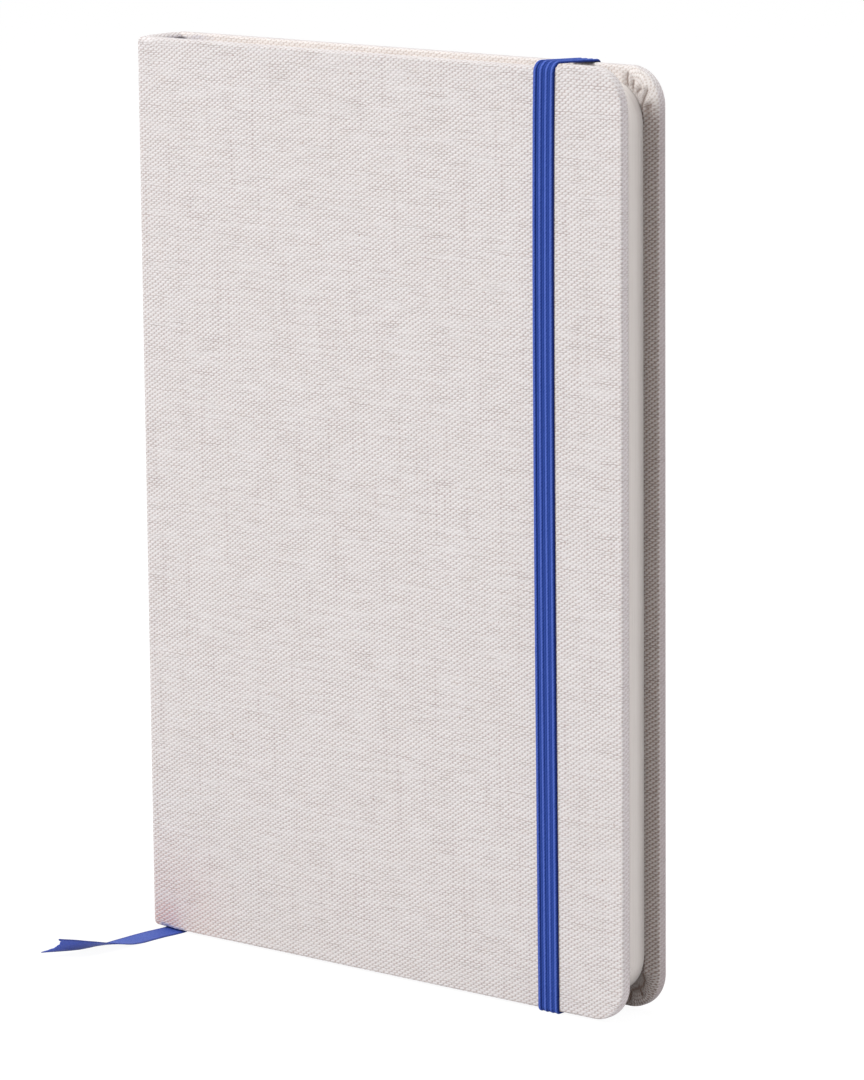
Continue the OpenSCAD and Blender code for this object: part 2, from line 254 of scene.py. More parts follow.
def fold_distance(x, z, folds):
    """Distance in mm from points about a corner's centre to the nearest fold's line."""
    nearest = np.full(len(x), 99.0)
    for fold in folds:
        line = [(r * math.cos(math.radians(a)), r * math.sin(math.radians(a))) for a, r in fold]
        for (ax, az), (bx, bz) in zip(line, line[1:]):
            along = ((x - ax) * (bx - ax) + (z - az) * (bz - az)) / ((bx - ax) ** 2 + (bz - az) ** 2)
            along = np.clip(along, 0, 1)
            nearest = np.minimum(nearest, np.hypot(x - ax - along * (bx - ax), z - az - along * (bz - az)))
    return nearest


def gathers(place, side):
    """Height of the gathered canvas above the inner face, and how deep in a fold it is."""
    height, fold = np.zeros(len(place)), np.zeros(len(place))
    for up, folds in ((1, HEAD_FOLDS), (-1, TAIL_FOLDS)):
        centre_z = HEAD - CORNER_R if up > 0 else FOOT + CORNER_R
        x = place[:, 0] - (RIGHT - CORNER_R)
        z = (place[:, 1] - centre_z) * up
        if side < 0:
            x, z = z, x
        radius = np.hypot(x, z)
        away = fold_distance(x, z, folds)
        here = smooth((x + 0.9) / 0.9) * smooth((z + 0.9) / 0.9) * smooth((8.1 - radius) / 1.0)
        here = here * smooth((radius - 4.2) / 0.5)
        lump = 0.86 + 0.14 * np.sin(2.9 * x + 0.6) * np.sin(3.3 * z + 1.1)
        rise = 0.22 + 0.78 * smooth((away - 0.12) / 1.0)
        height = np.maximum(height, here * rise * lump)
        deep = np.exp(-(away / 0.34) ** 2) * smooth((7.6 - radius) / 0.8)
        fold = np.maximum(fold, deep * smooth((x + 0.7) / 0.5) * smooth((z + 0.7) / 0.5))
    return height, fold


def proud_share(place):
    """Where the canvas of the front cover stands proud of its head edge, beside the elastic."""
    return smooth((place[:, 0] - PROUD_FROM) / 5) * smooth((place[:, 1] - HEAD + 9) / 8)


def wider(inset):
    """The inset at the hinge of a ring that elsewhere starts at the soft edge."""
    join = 2.5
    return inset if inset > join else EDGE_R + (inset - SOFT_EDGE) * (join - EDGE_R) / (join - SOFT_EDGE)


def cover_canvas(name, side):
    """The canvas over a cover. side is -1 for the front cover and 1 for the back cover."""
    level, upright, xs, zs = cover_lines()
    box, radii, steps = (LEFT, FOOT, RIGHT, HEAD), (SPINE_CORNER_R, CORNER_R), (12, CORNER_STEPS)
    # Each ring: inset and depth at the soft edge, the same at the hinge, the cloth's own
    # inset, and how far it is on the inner side
    rings = [(a, COVER_T, wider(a), COVER_T, a, 0.0)
             for a in (GRID_INSET, 9.5, 8, 6.5, 5, 4, 3.2, 2.5, 1.9, 1.4, 1.0)]
    profile = edge_profile()
    for a, d, round_a, round_d, way in profile:
        rings.append((a, d, round_a, round_d, SOFT_EDGE - way, smooth((0.9 - d) / 0.9)))
    whole = profile[-1][4]
    rings += [(a, 0.0, wider(a), 0.0, 2 * SOFT_EDGE - whole - a, 1.0) for a in TURNED]
    base, _ = ring(box, radii, 0, (level, upright), steps)
    round_share = smooth((ROUND_FROM - base[:, 0]) / (ROUND_FROM - ROUND_TO))
    points, cloth, extra = [], [], []
    for a, d, round_a, round_d, own, inner in rings:
        place, normal = ring(box, radii, a, (level, upright), steps)
        rounder, _ = ring(box, radii, round_a, (level, upright), steps)
        flat = place - normal * (own - a)
        place = place + (rounder - place) * round_share[:, None]
        depth = d + (round_d - d) * round_share
        height, fold = gathers(place, side) if inner else (0.0 * depth, 0.0 * depth)
        height, fold = height * inner, fold * inner
        depth = depth - GATHER_H * height
        if a > 5 and inner == 1.0:
            depth = depth + UNDER_PAPER
        under = smooth((LEFT + 4.4 - place[:, 0]) / 0.6)
        x = place[:, 0] + 0.04 * under
        z = place[:, 1] + PROUD * proud_share(place) * (side < 0)
        depth = EDGE_R + (depth - EDGE_R) * (1 - 0.03 * under)
        points.append(np.stack([x, side * (INNER + depth), z], 1))
        cloth.append(np.stack([cloth_x(flat[:, 0], side), flat[:, 1], 0 * x], 1))
        rim = smooth((COVER_T - 0.1 - d) / 0.35) * smooth((d - 0.05) / 0.5) + 0 * x
        extra.append(np.stack([rim, fold, inner + 0 * x], 1))
    count = len(points[0])
    faces = grid_faces(len(rings), count, closed=True)
    points, cloth, extra = (np.concatenate(v) for v in (points, cloth, extra))
    # Middle of the outer and the inner face, with the elastic's slits in the back cover
    for depth in (COVER_T, UNDER_PAPER):
        first = len(points)
        grid = np.array([[x, side * (INNER + depth), z] for z in zs for x in xs])
        points = np.concatenate([points, grid])
        cloth = np.concatenate([cloth, np.stack([cloth_x(grid[:, 0], side), grid[:, 2], 0 * grid[:, 0]], 1)])
        extra = np.concatenate([extra, np.repeat([[0.0, 0.0, float(depth < 1)]], len(grid), 0)])
        quads = grid_faces(len(zs), len(xs), first)
        if side > 0 and depth == COVER_T:
            quads = [f for f in quads if not in_slit(points[list(f)].mean(0))]
        faces += quads
    if side > 0:
        points, cloth, extra, faces = slit_walls(points, cloth, extra, faces)
    return add_mesh(name, points, faces, {"cloth": cloth, "extra": extra})


def in_slit(p):
    near = min(abs(p[2] - SLIT_Z + SLIT_H / 2), abs(p[2] - (FOOT + HEAD - SLIT_Z) - SLIT_H / 2))
    return abs(p[0] - BAND_MID) < SLIT_HALF_W and near < SLIT_H / 2


def slit_walls(points, cloth, extra, faces):
    """Pockets under the two slits of the back cover."""
    for top in (SLIT_Z, FOOT + HEAD - SLIT_Z + SLIT_H):
        x0, x1, z0, z1 = BAND_MID - SLIT_HALF_W, BAND_MID + SLIT_HALF_W, top - SLIT_H, top
        xs = np.linspace(x0, x1, 5)
        zs = np.linspace(z0, z1, 3)
        loop = [(x, z0) for x in xs[:-1]] + [(x1, z) for z in zs[:-1]]
        loop += [(x, z1) for x in xs[:0:-1]] + [(x0, z) for z in zs[:0:-1]]
        first = len(points)
        rows = [[(x, OUTER - deep, z) for x, z in loop] for deep in (0, 0.15, 0.4, 1.8)]
        new = np.array(rows).reshape(-1, 3)
        points = np.concatenate([points, new])
        cloth = np.concatenate([cloth, np.stack([cloth_x(new[:, 0], 1), new[:, 2], 0 * new[:, 0]], 1)])
        extra = np.concatenate([extra, np.zeros((len(new), 3))])
        n = len(loop)
        faces += grid_faces(4, n, first, closed=True)
        faces.append(tuple(first + 3 * n + i for i in range(n)))
    return points, cloth, extra, faces


# Spine and hinges

# X on a cover's face at which the spine's canvas starts, and how thick it is
SKIN_FROM = LEFT + 5.0
SKIN_T = 0.25
# The canvas turned in at the spine's head and tail: how far inwards, and how far back down
HEAD_CAP = ((0.6, 0.0), (1.4, 0.03), (2.2, 0.12), (2.7, 0.4), (2.8, 0.9))


def hinge_section():
    """The front half of the canvas over the spine, as X and Y from the front cover's face
    to the middle of the spine."""
    face = [(SKIN_FROM, 0.05 - OUTER)] + [(x, -OUTER) for x in np.linspace(LEFT + 4.0, HINGE_X + 0.1, 6)]
    cover = [(HINGE_X - EDGE_R * math.sin(a), -HINGE_Y - EDGE_R * math.cos(a))
             for a in np.radians(np.linspace(0, 138, 24))]
    spine = [(-69.3 - 0.7 * math.cos(a), -4.2 - 0.7 * math.sin(a))
             for a in np.radians(np.linspace(62, 0, 9))]
    a, b = np.array(cover[-1]), np.array(spine[0])
    low = np.array([-69.22, -5.12])
    pull = 2 * low - (a + b) / 2
    groove = [tuple((1 - t) ** 2 * a + 2 * t * (1 - t) * pull + t * t * b)
              for t in np.linspace(0, 1, 12)[1:-1]]
    flat = [(LEFT, y) for y in np.linspace(-3.9, 0, 9)]
    return np.array(face + cover + groove + spine + flat)


SKIN = hinge_section()
SKIN_RUN = np.concatenate([[0], np.cumsum(np.linalg.norm(np.diff(SKIN, axis=0), axis=1))])
SKIN_U = SKIN_FROM - SKIN_RUN


def cloth_x(x, side):
    """Place along the cloth, which runs on from the front cover round the spine to the back."""
    return x if side < 0 else 2 * SKIN_U[-1] - x


def hinge_canvas(name, side):
    """Half of the canvas over the spine, with the hinge of one cover, turned in at its ends."""
    spine = smooth((SKIN[:, 1] + 5.6) / 1.2)
    # Radius of the corner at the hinge, and a smaller one over the spine
    most = SPINE_CORNER_R - 0.65 * spine
    centre_x = LEFT + most
    reach = np.maximum(centre_x - SKIN[:, 0], 0.0)
    cap = smooth(SKIN[:, 1] + 5.0)
    middle, half = (FOOT + HEAD) / 2, (HEAD - FOOT) / 2
    # Each row: which end it belongs to, its turn over that end, and how far it is turned in
    quarter, flat = math.pi / 2, (0.0, 0.0)
    rows = [(-1, quarter, turned) for turned in HEAD_CAP[::-1]]
    rows += [(-1, b, flat) for b in np.linspace(quarter, 0, 11)]
    rows += [(0, z, flat) for z in np.linspace(-1, 1, 61)[1:-1]]
    rows += [(1, b, flat) for b in np.linspace(0, quarter, 11)]
    rows += [(1, quarter, turned) for turned in HEAD_CAP]
    grid, cloth = [], []
    for end, turn, (inwards, down) in rows:
        if end:
            x = np.where(reach > 0, centre_x - reach * math.cos(turn), SKIN[:, 0]) + inwards * cap
            z = middle + end * (half - most + reach * math.sin(turn) - down * cap)
            along = middle + end * (half - most + reach * turn + (inwards + down) * cap)
        else:
            x = SKIN[:, 0]
            z = along = middle + turn * (half - most)
        grid.append(np.stack([x, -side * SKIN[:, 1], z], 1))
        cloth.append(np.stack([cloth_x(SKIN_U, side), along, 0 * x], 1))
    grid, cloth = np.array(grid), np.array(cloth)
    if side < 0:
        grid, cloth = grid[::-1], cloth[::-1]
    return shell(name, grid, SKIN_T, {"cloth": cloth, "extra": cloth * 0}, sharp=60)


def hinge_fold(name, side):
    """The endpaper's fold between the leaves and a cover."""
    near = BLOCK_FRONT if side < 0 else -BLOCK_BACK
    inner = -INNER + PAPER_T
    gap = (near - inner) / 2 - 0.02
    y_mid = (near + inner) / 2
    bend = [(-67.45 - gap * 0.9 * math.sin(a), y_mid + gap * math.cos(a))
            for a in np.radians(np.linspace(0, 180, 33))]
    flat = [(x, y_mid - gap) for x in np.linspace(-67.4, -65.2, 12)]
    section = np.array([(-67.3, y_mid + gap)] + bend + flat)
    zs = np.linspace(BLOCK_FOOT + 0.4, BLOCK_HEAD - 0.4, 41)
    grid = np.array([[(x, -side * y, z) for x, y in section] for z in zs])
    if side < 0:
        grid = grid[::-1]
    return shell(name, grid, 0.012)


# Left, foot, right and head of the endpapers
PAPER_BOX = (-65.7, 4.65, 65.85, 206.5)


def endpaper(name, side):
    """The sheet pasted on the inner side of a cover, with corners like those of the leaves."""
    radii, level, upright = (0.3, LEAF_R), np.linspace(0, 1, 12), np.linspace(0, 1, 30)
    rows = []
    for inset, y in ((0.0, INNER), (0.0, INNER - 0.11), (0.04, INNER - PAPER_T)):
        place, _ = ring(PAPER_BOX, radii, inset, (level, upright), (2, 26))
        rows.append(np.stack([place[:, 0], np.full(len(place), side * y), place[:, 1]], 1))
    columns = len(rows[0])
    faces = grid_faces(3, columns, closed=True)
    faces += [tuple(range(columns)), tuple(range(3 * columns - 1, 2 * columns - 1, -1))]
    return add_mesh(name, np.concatenate(rows), faces, sharp=40)


# Leaves

def leaves(name):
    """The leaves, each with its own edge, in six gatherings."""
    count, gathering = 96, 16
    # Depth of the line between two leaves, and between two gatherings
    leaf_line, gathering_line = 0.045, 0.09
    random = np.random.RandomState(SEED)
    thick = (BLOCK_BACK - BLOCK_FRONT) / count
    box, radii = (BLOCK_LEFT, BLOCK_FOOT, BLOCK_RIGHT, BLOCK_HEAD), (0.2, LEAF_R)
    level, upright = np.linspace(0, 1, 16), np.linspace(0, 1, 36)
    base, normal = ring(box, radii, 0, (level, upright), (2, 26))
    turn = np.arctan2(normal[:, 1], normal[:, 0])
    rows = []
    for k in range(count):
        first, last = k % gathering == 0, k % gathering == gathering - 1
        inset = 0.035 * random.rand() + (0.03 if first or last else 0)
        wave = 0.02 * np.sin(base[:, 1] * 0.05 + 6 * random.rand()) * np.abs(np.cos(turn))
        y = BLOCK_FRONT + k * thick
        deep = gathering_line if first and k else leaf_line
        for step, extra in ((0.0, deep), (0.22, 0.0), (0.78, 0.0)):
            if k == 0 and step == 0.0:
                extra = 0.0
            place = base - normal * (inset + extra + wave)[:, None]
            rows.append(np.stack([place[:, 0], np.full(len(place), y + step * thick), place[:, 1]], 1))
    place = base - normal * 0.03
    rows.append(np.stack([place[:, 0], np.full(len(place), BLOCK_BACK), place[:, 1]], 1))
    points = np.concatenate(rows)
    columns = len(base)
    faces = [f[::-1] for f in grid_faces(len(rows), columns, closed=True)]
    faces.append(tuple(range(columns)))
    faces.append(tuple(range(len(points) - 1, len(points) - 1 - columns, -1)))
    return add_mesh(name, points, faces, sharp=50)


# Elastic

# Each rib of the elastic: where its top is, as a share of the width, and its height
RIBS = ((0.10, 1.0), (0.255, 0.62), (0.375, 1.0), (0.515, 0.62), (0.64, 1.0), (0.765, 0.62), (0.885, 1.0))
# The elastic stands off the front cover's head edge by this much, with a soft bend there
BAND_LIFT, BAND_BEND = 0.7, 1.9
# On the front it bows towards the spine by this much
BAND_BOW = 0.6


def band_section():
    """Across the elastic's outline, how far each point stands out of its flat face, and how
    high it is on a rib from 0 to 1."""
    t = np.linspace(0, 1, 113)
    height = np.zeros_like(t)
    for top, tall in RIBS:
        wide = 0.055 + 0.02 * tall
        height = np.maximum(height, tall * np.sqrt(np.clip(1 - ((t - top) / wide) ** 2, 0, 1)))
    ends = np.sqrt(np.clip(1 - (np.maximum(0, np.abs(t - 0.5) - 0.44) / 0.06) ** 2, 0, 1))
    web = BAND_WEB - 0.08
    out = 0.12 + (web - 0.12) * ends + (BAND_T - web) * height * ends
    return t, out, height


def bend(centre, radius, start, end, steps):
    """Places and outward directions along an arc, with its angles in degrees."""
    arc = []
    for a in np.radians(np.linspace(start, end, steps)):
        way = (math.cos(a), math.sin(a))
        arc.append(((centre[0] + radius * way[0], centre[1] + radius * way[1]), way))
    return arc


def band_half(lift, front_r):
    """Y and Z of the elastic's flat face with its outward direction, from the slit at the
    head of the back cover to the middle of the front. lift is how far it stands off the
    front cover's head edge, and front_r the inner radius of its bend there."""
    seat, outer, head = EDGE_ROUND + BAND_SEAT, OUTER + BAND_SEAT, HEAD + BAND_SEAT
    route = [((6.9, SLIT_Z - 0.4), (0, -1)), ((7.5, SLIT_Z - 0.4), (0, -1))]
    route += bend((outer - 0.4, SLIT_Z), 0.4, -90, 0, 8)
    back = HEAD - EDGE_ROUND
    route += [((outer, z), (1, 0)) for z in np.linspace(SLIT_Z, back, 28)[1:-1]]
    route += bend((OUTER - EDGE_ROUND, back), seat, 0, 90, 11)
    first_y, last_y = OUTER - EDGE_ROUND, front_r - outer
    slope = math.atan2(lift, first_y - last_y)
    for y in np.linspace(first_y, last_y, 30)[1:-1]:
        rise = lift * (first_y - y) / (first_y - last_y)
        route.append(((y, head + rise), (math.sin(slope), math.cos(slope))))
    route += bend((last_y, head + lift - front_r), front_r, 90, 180, 21)
    low, middle = head + lift - front_r, (FOOT + HEAD) / 2
    return route + [((-outer, z), (-1, 0)) for z in np.linspace(low, middle, 210)[1:]]


def band_route():
    """The whole way of the elastic's flat face, from the upper slit to the lower one."""
    head, foot = band_half(BAND_LIFT, BAND_BEND), band_half(0.0, EDGE_ROUND + BAND_SEAT)
    return head + [((y, FOOT + HEAD - z), (oy, -oz)) for (y, z), (oy, oz) in foot[-2::-1]]


def elastic(name):
    t, out, height = band_section()
    route = band_route()
    places = np.array([p for p, _ in route])
    ways = np.array([o for _, o in route], float)
    run = np.concatenate([[0], np.cumsum(np.linalg.norm(np.diff(places, axis=0), axis=1))])
    rows, marks = [], []
    for (y, z), (oy, oz), s in zip(places, ways, run):
        share = np.clip((HEAD - z) / (HEAD - FOOT), 0, 1)
        bow = -BAND_BOW * math.sin(math.pi * share ** 0.63) * smooth((-5 - y) / 3)
        across = BAND_MID - BAND_W / 2 + t * BAND_W + bow
        top = np.stack([across, y + oy * out, z + oz * out], 1)
        low_t = np.linspace(1, 0, 9)[1:-1]
        low = np.stack([BAND_MID - BAND_W / 2 + low_t * BAND_W + bow, np.full(7, y), np.full(7, z)], 1)
        rows.append(np.concatenate([top, low]))
        mark_t = np.concatenate([t, low_t])
        marks.append(np.stack([mark_t * BAND_W, np.full(len(mark_t), s), np.append(height, 0 * low_t)], 1))
    columns = len(rows[0])
    points = np.concatenate(rows)
    faces = grid_faces(len(rows), columns, closed=True)
    faces.append(tuple(range(columns - 1, -1, -1)))
    faces.append(tuple(len(points) - columns + i for i in range(columns)))
    return add_mesh(name, points, faces, {"cloth": np.concatenate(marks)}, sharp=75)


# Ribbon

# The free ribbon's middle, as X and Y from its start and Z, and its tilt in degrees
TAIL = [(0, 0, 3.85, 0), (0, 0, 2.1, 0), (0, -0.05, 1.1, 0), (0, -0.25, 0.6, 0),
        (0, -0.7, 0.35, 0), (0, -1.4, 0.22, 0), (0, -2.4, 0.2, 0), (-0.25, -4.5, 0.2, 0),
        (-0.8, -7.5, 0.2, 0), (-1.15, -11.5, 0.2, 0), (-1.3, -15, 0.2, 0), (-1.5, -18.5, 0.35, 3),
        (-1.75, -22, 0.75, 11), (-2.1, -26, 1.3, 20), (-2.9, -30, 1.9, 29), (-4, -33.5, 2.5, 35),
        (-5.2, -37.5, 3.1, 40)]


def ribbon_rows():
    """Middle and tilt of the free ribbon at closely spaced points, and how far along they are."""
    keys = np.array(TAIL, float)
    length = np.concatenate([[0], np.cumsum(np.linalg.norm(np.diff(keys[:, :3], axis=0), axis=1))])
    s = np.unique(np.concatenate([np.linspace(0, 6, 25), np.linspace(6, length[-1], 70)]))
    dense = np.stack([np.interp(s, length, keys[:, k]) for k in range(4)], 1)
    kernel = np.array([1, 2, 3, 2, 1]) / 9
    soft = dense.copy()
    for _ in range(2):
        for k in range(4):
            padded = np.concatenate([2 * soft[0, k] - soft[2:0:-1, k], soft[:, k],
                                     2 * soft[-1, k] - soft[-2:-4:-1, k]])
            soft[:, k] = np.convolve(padded, kernel, "valid")
    return soft, s


def ribbon_tail(name):
    line, s = ribbon_rows()
    centre = line[:, :3] + np.array([TAIL_START[0], TAIL_START[1], 0])
    way = np.gradient(centre, axis=0)
    way /= np.linalg.norm(way, axis=1, keepdims=True)
    plan = way * [1, 1, 0]
    strength = smooth((s - 3.0) / 3.0)[:, None]
    plan = plan / (np.linalg.norm(plan, axis=1, keepdims=True) + 1e-9)
    plan = plan * strength + np.array([0, -1, 0]) * (1 - strength)
    across = np.stack([-plan[:, 1], plan[:, 0], 0 * s], 1)
    across /= np.linalg.norm(across, axis=1, keepdims=True)
    tilt = np.radians(line[:, 3])
    across = across * np.cos(tilt)[:, None] + np.array([0, 0, 1.0]) * np.sin(tilt)[:, None]
    columns = 25
    t = np.linspace(-1, 1, columns)
    rows, marks = [], []
    random = np.random.RandomState(SEED + 5)
    ragged = np.convolve(random.rand(columns + 4) - 0.5, [0.25, 0.5, 0.25], "same")[2:-2]
    for k in range(len(s)):
        rows.append(centre[k] + across[k] * (t * RIBBON_W / 2)[:, None])
        marks.append(np.stack([(t + 1) * RIBBON_W / 2, np.full(columns, s[k]), np.zeros(columns)], 1))
    grid, mark = np.array(rows), np.array(marks)
    # The cut end: drawn in at its middle, with an uneven edge, over the last millimetres
    reach = 6
    cut = 2.2 * (1 - t ** 2) + 0.9 * ragged + 0.9 * t - 1.3
    for c in range(columns):
        share = smooth((s - (s[-1] - reach)) / reach)
        step = way[-1] * (-cut[c])
        grid[:, c] += share[:, None] * step
        mark[:, c, 1] += share * (-cut[c])
    upper = grid + np.array([0, 0, RIBBON_T / 2])
    piece = shell(name, upper[:, ::-1], RIBBON_T, {"cloth": mark[:, ::-1]}, sharp=40)
    total = float(np.sum(np.linalg.norm(np.diff(centre, axis=0), axis=1)))
    return piece, centre, total


# Materials

class Nodes:
    """A procedural material, with short names for the nodes that it is made of."""

    def __init__(self, name):
        self.material = bpy.data.materials.new(name)
        self.material.use_nodes = True
        self.tree = self.material.node_tree
        self.shader = self.tree.nodes["Principled BSDF"]

    def put(self, socket, value):
        if isinstance(value, bpy.types.NodeSocket):
            self.tree.links.new(value, socket)
        elif isinstance(value, (tuple, list)) and len(value) == 3 and socket.type == "RGBA":
            socket.default_value = (*value, 1)
        else:
            socket.default_value = value

    def new(self, kind, **settings):
        node = self.tree.nodes.new(kind)
        for key, value in settings.items():
            setattr(node, key, value)
        return node

    def math(self, operation, *values, clamp=False):
        node = self.new("ShaderNodeMath", operation=operation, use_clamp=clamp)
        for socket, value in zip(node.inputs, values):
            self.put(socket, value)
        return node.outputs[0]

    def vector(self, operation, a, b):
        node = self.new("ShaderNodeVectorMath", operation=operation)
        self.put(node.inputs[0], a)
        self.put(node.inputs[1], b)
        return node.outputs[0]

    def mix(self, share, a, b):
        node = self.new("ShaderNodeMix", data_type="RGBA")
        self.put(node.inputs["Factor"], share)
        self.put(node.inputs[6], a)
        self.put(node.inputs[7], b)
        return node.outputs[2]

    def spread(self, value, low, high, to_low=0.0, to_high=1.0):
        node = self.new("ShaderNodeMapRange", interpolation_type="SMOOTHSTEP")
        for socket, v in zip(node.inputs, (value, low, high, to_low, to_high)):
            self.put(socket, v)
        return node.outputs[0]

    def noise(self, place, scale, detail=2.0, roughness=0.5):
        node = self.new("ShaderNodeTexNoise")
        self.put(node.inputs["Vector"], place)
        self.put(node.inputs["Scale"], scale)
        self.put(node.inputs["Detail"], detail)
        self.put(node.inputs["Roughness"], roughness)
        return node.outputs["Fac"]

    def attribute(self, name):
        return self.new("ShaderNodeAttribute", attribute_name=name).outputs["Vector"]

    def split(self, vector):
        node = self.new("ShaderNodeSeparateXYZ")
        self.put(node.inputs[0], vector)
        return node.outputs

    def join(self, x, y, z=0.0):
        node = self.new("ShaderNodeCombineXYZ")
        for socket, value in zip(node.inputs, (x, y, z)):
            self.put(socket, value)
        return node.outputs[0]

    def ramp(self, value, stops):
        node = self.new("ShaderNodeValToRGB")
        self.put(node.inputs[0], value)
        stock = node.color_ramp.elements
        while len(stock) < len(stops):
            stock.new(0.5)
        for element, (place, colour) in zip(stock, stops):
            element.position = place
            element.color = (*colour, 1)
        return node.outputs[0]

    def finish(self, colour, roughness, height=None, distance=0.0, strength=1.0, **uniform):
        self.put(self.shader.inputs["Base Color"], colour)
        self.put(self.shader.inputs["Roughness"], roughness)
        for key, value in uniform.items():
            self.put(self.shader.inputs[key.replace("_", " ")], value)
        if height is not None:
            bump = self.new("ShaderNodeBump")
            self.put(bump.inputs["Strength"], strength)
            self.put(bump.inputs["Distance"], distance)
            self.put(bump.inputs["Height"], height)
            self.put(self.shader.inputs["Normal"], bump.outputs[0])
        return self.material


# Distance between upright and between level threads in mm, and how far a float leans
WARP, WEFT, LEAN = 0.80, 0.53, 0.3
# Where the ribbon has coloured the canvas, as place along and up the cloth in mm
STAIN_X, STAIN_Z = -65.5, 2.2


def canvas_material():
    """Plain weave, whose level threads float over the upright ones and lean a little."""
    n = Nodes("canvas")
    place = n.attribute("cloth")
    rim, fold, inner = n.split(n.attribute("extra"))
    x, z, _ = n.split(place)
    sway_x = n.math("MULTIPLY", n.math("SUBTRACT", n.noise(place, 0.22, 2), 0.5), 0.9)
    other = n.vector("ADD", place, (31.0, 17.0, 5.0))
    sway_z = n.math("MULTIPLY", n.math("SUBTRACT", n.noise(other, 0.3, 2), 0.5), 0.7)
    p = n.math("DIVIDE", n.math("ADD", x, sway_x), WARP)
    q = n.math("DIVIDE", n.math("ADD", z, sway_z), WEFT)
    i, j = n.math("FLOOR", p), n.math("FLOOR", q)
    fp = n.math("SUBTRACT", n.math("SUBTRACT", p, i), 0.5)
    fq = n.math("SUBTRACT", n.math("SUBTRACT", q, j), 0.5)
    # How thick each thread is along its length
    warp_place = n.join(n.math("MULTIPLY", i, 0.73), n.math("MULTIPLY", z, 0.16), 3.3)
    weft_place = n.join(n.math("MULTIPLY", x, 0.13), n.math("MULTIPLY", j, 0.71), 8.1)
    warp_thick = n.spread(n.noise(warp_place, 1.0, 3, 0.6), 0.25, 0.75, 0.6, 1.15)
    weft_thick = n.spread(n.noise(weft_place, 1.0, 3, 0.6), 0.25, 0.75, 0.78, 1.3)
    turn = n.math("ADD", n.math("SUBTRACT", p, 0.5), n.math("MULTIPLY_ADD", fq, -LEAN, j))
    wave = n.math("COSINE", n.math("MULTIPLY", turn, math.pi))
    lift = n.math("POWER", n.math("MULTIPLY_ADD", wave, 0.5, 0.5, clamp=True), 0.4)

    def round_section(offset, thick):
        side = n.math("DIVIDE", n.math("MULTIPLY", offset, 1.75), thick)
        return n.math("SQRT", n.math("SUBTRACT", 1.0, n.math("MULTIPLY", side, side), clamp=True))

    weft = n.math("MULTIPLY", lift, round_section(fq, weft_thick))
    warp = n.math("MULTIPLY", n.math("SUBTRACT", 1.0, lift), round_section(fp, warp_thick))
    height = n.math("MAXIMUM", weft, n.math("MULTIPLY", warp, 0.3))
    fibre = n.noise(n.vector("MULTIPLY", place, (1.0, 2.2, 1.0)), 4.0, 2, 0.6)
    height = n.math("MULTIPLY_ADD", n.math("SUBTRACT", fibre, 0.5), 0.2, height)
    # Masks of the gathers at the head, whose weave is calmed and which get a painted highlight, and of the
    # inner side below them, which gets painted shade
    deep = n.math("MULTIPLY", inner, n.spread(z, HEAD - 4.5, HEAD - 12.5))
    gathered = n.math("SUBTRACT", inner, deep)
    calm = n.math("MULTIPLY", n.math("SUBTRACT", 0.7, height), n.math("MULTIPLY", gathered, 0.3))
    height = n.math("ADD", height, calm)
    # Where the threads lie closer, the gaps close up
    close = n.noise(n.vector("MULTIPLY", place, (0.07, 0.9, 1.0)), 1.0, 3, 0.6)
    fill = n.spread(close, 0.45, 0.7, 0.0, 0.4)
    fill = n.math("MULTIPLY", fill, n.math("SUBTRACT", 1.0, inner))
    seen = n.math("ADD", height, n.math("MULTIPLY", n.math("SUBTRACT", 0.75, height), fill))
    # Darker from the threads' tops into the gaps between them: partly the gaps' own colour, partly painted
    # shade
    colour = n.ramp(seen, [(0.0, (0.34, 0.255, 0.24)), (0.25, (0.53, 0.445, 0.43)),
                           (0.5, (0.70, 0.65, 0.645)), (0.8, (0.79, 0.755, 0.755))])
    # Single level threads that leave a dark line under them for a while
    streak_place = n.join(n.math("MULTIPLY", x, 0.09), n.math("MULTIPLY", j, 0.83), 1.7)
    streak = n.spread(n.noise(streak_place, 1.0, 2, 0.5), 0.60, 0.70)
    streak = n.math("MULTIPLY", streak, n.spread(fq, -0.1, -0.42))
    colour = n.mix(n.math("MULTIPLY", streak, 0.6), colour, (0.40, 0.31, 0.30))
    # Upright threads that lie a little apart, so that the gap beside them shows darker
    apart_place = n.join(n.math("MULTIPLY", i, 0.83), n.math("MULTIPLY", z, 0.03), 6.1)
    apart = n.spread(n.noise(apart_place, 1.0, 2, 0.5), 0.55, 0.72)
    apart = n.math("MULTIPLY", apart, n.spread(height, 0.8, 0.3, 0.1, 1.0))
    colour = n.mix(n.math("MULTIPLY", apart, 0.4), colour, (0.45, 0.36, 0.35))
    cloud = n.spread(n.noise(place, 0.035, 3, 0.55), 0.3, 0.7, 0.0, 1.0)
    colour = n.mix(n.math("MULTIPLY", cloud, 0.08), colour, (0.66, 0.60, 0.57))
    patch = n.spread(n.noise(n.vector("ADD", place, (7, 3, 1)), 0.5, 3, 0.6), 0.5, 0.8)
    colour = n.mix(n.math("MULTIPLY", patch, 0.16), colour, (0.62, 0.52, 0.47))
    speck = n.spread(n.noise(n.vector("ADD", place, (3.0, 9.0, 2.0)), 0.9, 1), 0.77, 0.82)
    colour = n.mix(n.math("MULTIPLY", speck, 0.6), colour, (0.33, 0.20, 0.15))
